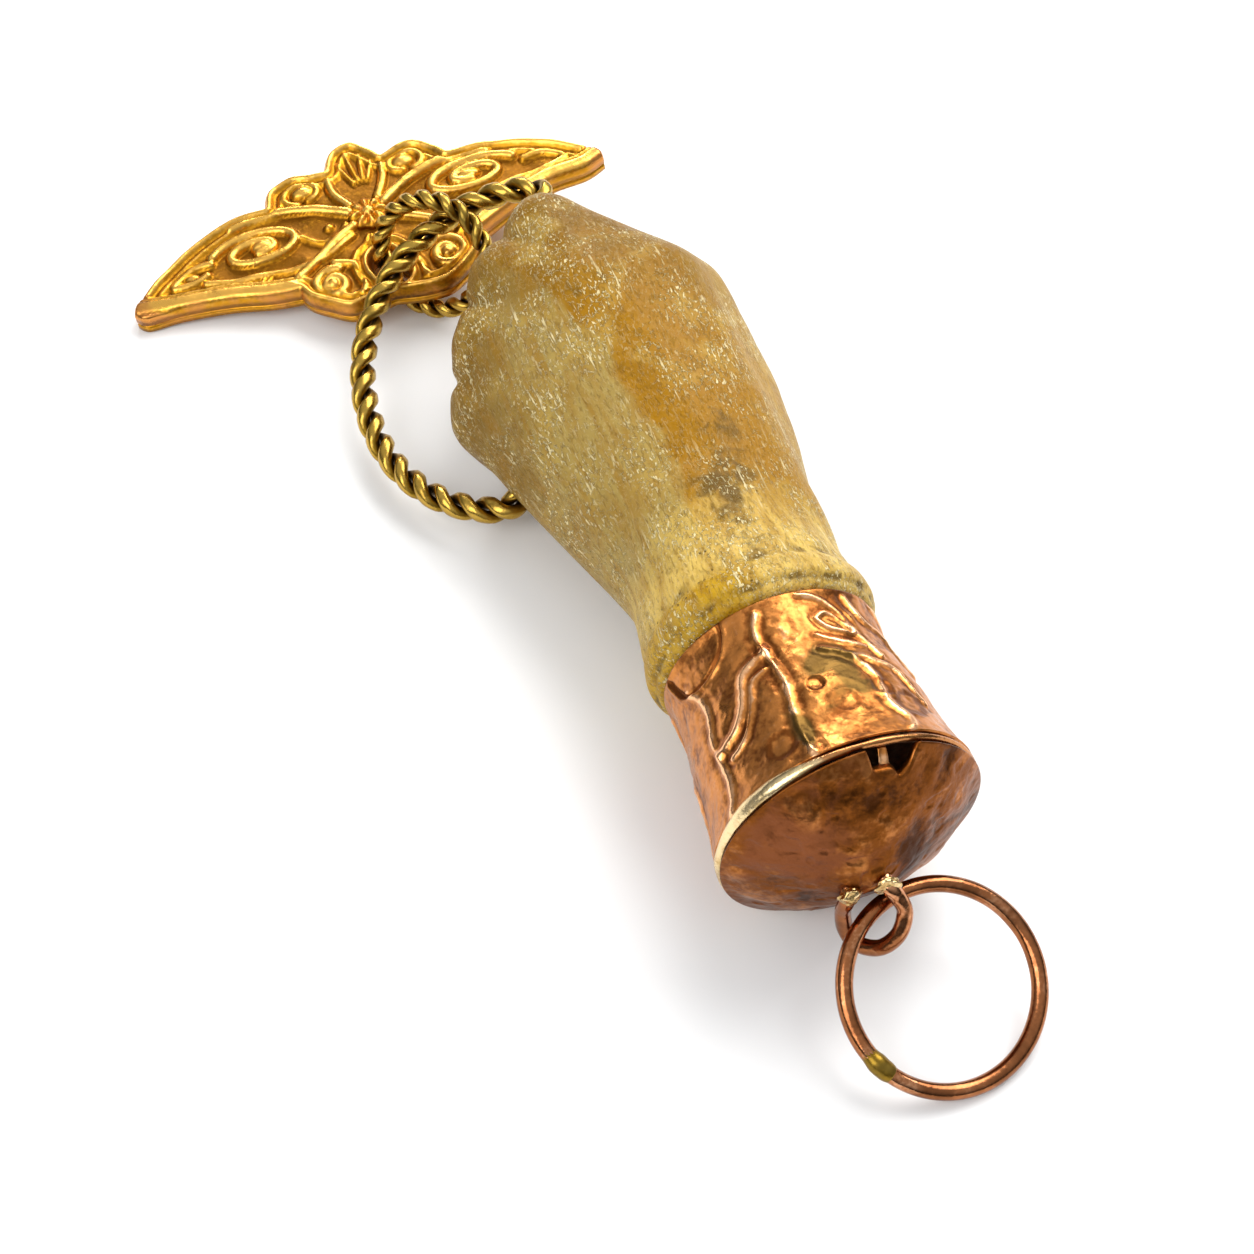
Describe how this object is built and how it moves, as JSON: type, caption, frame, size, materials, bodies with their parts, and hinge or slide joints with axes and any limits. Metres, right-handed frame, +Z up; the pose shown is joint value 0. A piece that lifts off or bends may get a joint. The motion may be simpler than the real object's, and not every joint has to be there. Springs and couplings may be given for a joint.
{
  "type": "carved hand fob charm",
  "caption": "Carved fist in a flared copper cuff, with a wire jump ring, and a winged gilt ornament hung by a twisted link from a rope ring through the grip.",
  "frame": {"origin": "middle of the underside of the box round the whole charm as it lies on a table", "axes": "+Y from the jump ring towards the ornament, along the charm's length; +X across the cuff to the thumb side; +Z up, from the table to the back of the hand"},
  "size_m": [0.031, 0.0694, 0.0135],
  "materials": {
    "horn": "polished translucent horn, scratched, tan to golden brown",
    "pitch": "dark pitch filling, hidden",
    "copper": "polished crinkled copper with patches of tarnish",
    "pale_gold": "pale gold solder and binding strip",
    "rose_gold": "polished reddish gold wire",
    "aged_brass": "olive aged brass, burnished on the high spots",
    "gilt": "bright gilt stamping with olive recesses"
  },
  "bodies": {
    "hand": {"carved_hand": "horn", "pitch_filling": "pitch", "cuff_sleeve": "copper", "rim_band": "pale_gold", "end_cap": "copper", "eyelet": "rose_gold", "eyelet_solder_left": "pale_gold", "eyelet_solder_right": "pale_gold"},
    "jump_ring": {"jump_ring": "rose_gold", "jump_ring_solder": "pale_gold"},
    "rope_ring": {"rope_wire_a": "aged_brass", "rope_wire_b": "aged_brass", "rope_solder": "aged_brass"},
    "link_ring": {"link_wire_a": "aged_brass", "link_wire_b": "aged_brass", "link_solder": "aged_brass"},
    "ornament": {"ornament_front": "gilt", "ornament_back": "gilt", "rosette_boss": "gilt"}
  },
  "joints": [
    {"name": "jump_ring_swing", "type": "hinge", "parent": "hand", "child": "jump_ring", "pos_m": [0.00813, -0.02625, 0.00484], "axis": [0.895, 0.4174, 0.1572], "range_deg": [-45, 25]},
    {"name": "rope_ring_swing", "type": "hinge", "parent": "hand", "child": "rope_ring", "pos_m": [0.00454, 0.01311, 0.00475], "axis": [0.388, 0.8953, 0.2189], "range_deg": [-90, 60]},
    {"name": "link_ring_swing", "type": "hinge", "parent": "rope_ring", "child": "link_ring", "pos_m": [0.00188, 0.02333, 0.00526], "axis": [-0.9046, -0.3104, -0.2922], "range_deg": [-120, 20]},
    {"name": "ornament_swing", "type": "hinge", "parent": "link_ring", "child": "ornament", "pos_m": [-0.00077, 0.02399, 0.00223], "axis": [-0.2109, 0.6101, 0.7638], "range_deg": [-15, 15]}
  ]
}
